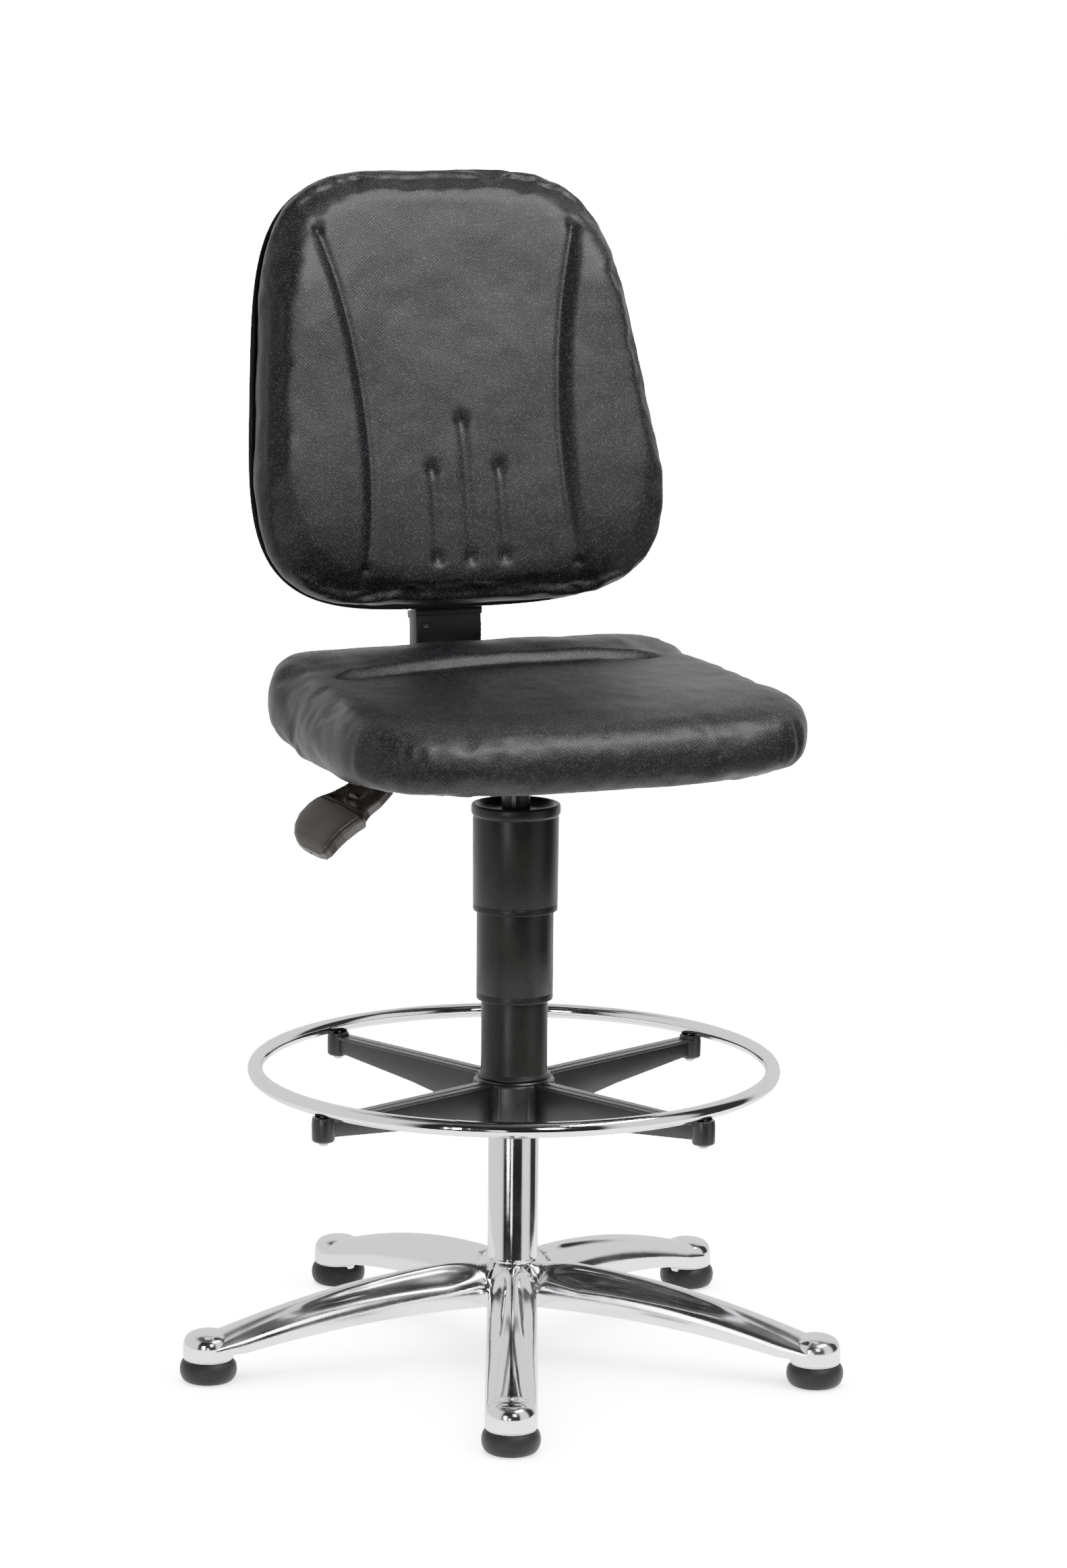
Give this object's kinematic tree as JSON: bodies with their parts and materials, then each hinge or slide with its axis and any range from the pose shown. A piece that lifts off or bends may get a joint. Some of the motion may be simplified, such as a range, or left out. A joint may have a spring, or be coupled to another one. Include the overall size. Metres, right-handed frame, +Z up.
{
  "type": "drafting chair",
  "caption": "Tall padded work chair on a fixed-foot star base with a gas lift, a chromed foot ring, a telescopic column cover, a tilting seat and a reclining, height-adjustable back.",
  "frame": {"origin": "centre of the chair's box at floor level; the column axis stands at x = 0.0208, y = -0.0092 m", "axes": "+Z up; the sitter looks along -Y; +X is the sitter's left"},
  "size_m": [0.6345, 0.6449, 1.1646],
  "materials": {
    "cast_aluminium": "polished, bright",
    "chromed_steel": "mirror",
    "zinc_steel": "zinc plated",
    "black_coated_steel": "satin powder coat",
    "black_plastic": "fine moulded texture, satin",
    "lever_plastic": "moulded, satin, slightly brown",
    "black_rubber": "smooth moulded",
    "charcoal_fabric": "fine woven upholstery cloth"
  },
  "bodies": {
    "base": {"base_star": "cast_aluminium", "glide_1": "black_rubber", "glide_2": "black_rubber", "glide_3": "black_rubber", "glide_4": "black_rubber", "glide_5": "black_rubber", "column_tube": "chromed_steel", "column_guide_bush": "black_plastic", "bearing_lower_race": "zinc_steel", "bearing_cage": "zinc_steel", "sleeve_lower": "black_plastic"},
    "swivel": {"bearing_upper_race": "zinc_steel", "piston_rod": "chromed_steel", "retaining_washer": "zinc_steel", "retaining_clip": "zinc_steel", "piston": "zinc_steel"},
    "lift": {"gas_cylinder": "black_coated_steel", "rod_seal": "black_rubber", "sleeve_upper": "black_plastic", "sleeve_retaining_ring": "black_rubber", "mechanism_housing": "black_coated_steel", "cone_socket": "black_coated_steel", "tilt_pin": "zinc_steel", "recline_pin": "zinc_steel", "recline_spring": "zinc_steel", "lever_bracket": "zinc_steel", "lever_pin": "zinc_steel"},
    "valve": {"release_pin": "zinc_steel"},
    "foot_ring": {"footring_tube": "chromed_steel", "footring_spider": "black_plastic", "footring_liner": "black_plastic", "footring_clamp_screw": "zinc_steel", "footring_screw_1": "zinc_steel", "footring_screw_2": "zinc_steel", "footring_screw_3": "zinc_steel", "footring_screw_4": "zinc_steel"},
    "middle_sleeve": {"sleeve_middle": "black_plastic"},
    "seat": {"seat_plate": "black_coated_steel", "seat_shell": "black_plastic", "seat_cushion": "charcoal_fabric", "seat_screw_1": "zinc_steel", "seat_screw_2": "zinc_steel", "seat_screw_3": "zinc_steel", "seat_screw_4": "zinc_steel"},
    "back_arm": {"back_bar": "black_coated_steel", "back_bar_cover": "black_plastic", "bar_end_cap": "black_plastic", "height_rack": "zinc_steel"},
    "backrest": {"back_carrier": "black_plastic", "height_pawl": "zinc_steel", "back_shell": "black_plastic", "back_cushion": "charcoal_fabric", "back_screw_1": "zinc_steel", "back_screw_2": "zinc_steel", "back_screw_3": "zinc_steel", "back_screw_4": "zinc_steel"},
    "lever": {"lever_rod": "zinc_steel", "lever_grip_upper": "lever_plastic", "lever_grip_lower": "lever_plastic"}
  },
  "joints": [
    {"name": "seat_swivel", "type": "hinge", "parent": "base", "child": "swivel", "pos_m": [0.0208, -0.0092, 0.0575], "axis": [0, 0, 1], "continuous": true},
    {"name": "gas_lift", "type": "slide", "parent": "swivel", "child": "lift", "axis": [0, 0, 1], "range_m": [-0.13, 0.04]},
    {"name": "release_valve", "type": "slide", "parent": "lift", "child": "valve", "axis": [0, 0, 1], "range_m": [-0.0032, 0.0001]},
    {"name": "footring_height", "type": "slide", "parent": "base", "child": "foot_ring", "axis": [0, 0, 1], "range_m": [-0.11, 0]},
    {"name": "cover_telescope", "type": "slide", "parent": "base", "child": "middle_sleeve", "axis": [0, 0, 1], "range_m": [-0.066, 0.021]},
    {"name": "seat_tilt", "type": "hinge", "parent": "lift", "child": "seat", "pos_m": [0.0208, -0.0792, 0.603], "axis": [-1, 0, 0], "range_deg": [-2, 3]},
    {"name": "back_recline", "type": "hinge", "parent": "lift", "child": "back_arm", "pos_m": [0.0208, 0.0458, 0.602], "axis": [-1, 0, 0], "range_deg": [-2, 18]},
    {"name": "back_height", "type": "slide", "parent": "back_arm", "child": "backrest", "axis": [0, 0.2334, 0.9724], "range_m": [-0.015, 0.055]},
    {"name": "lift_lever", "type": "hinge", "parent": "lift", "child": "lever", "pos_m": [-0.0142, -0.0092, 0.6165], "axis": [0, 1, 0], "range_deg": [0, 5], "stiffness_Nm_per_rad": 3}
  ],
  "couplings": [
    {"joint": "cover_telescope", "follows": "gas_lift", "ratio": 0.5},
    {"joint": "release_valve", "follows": "lift_lever", "m_per_rad": -0.035}
  ]
}
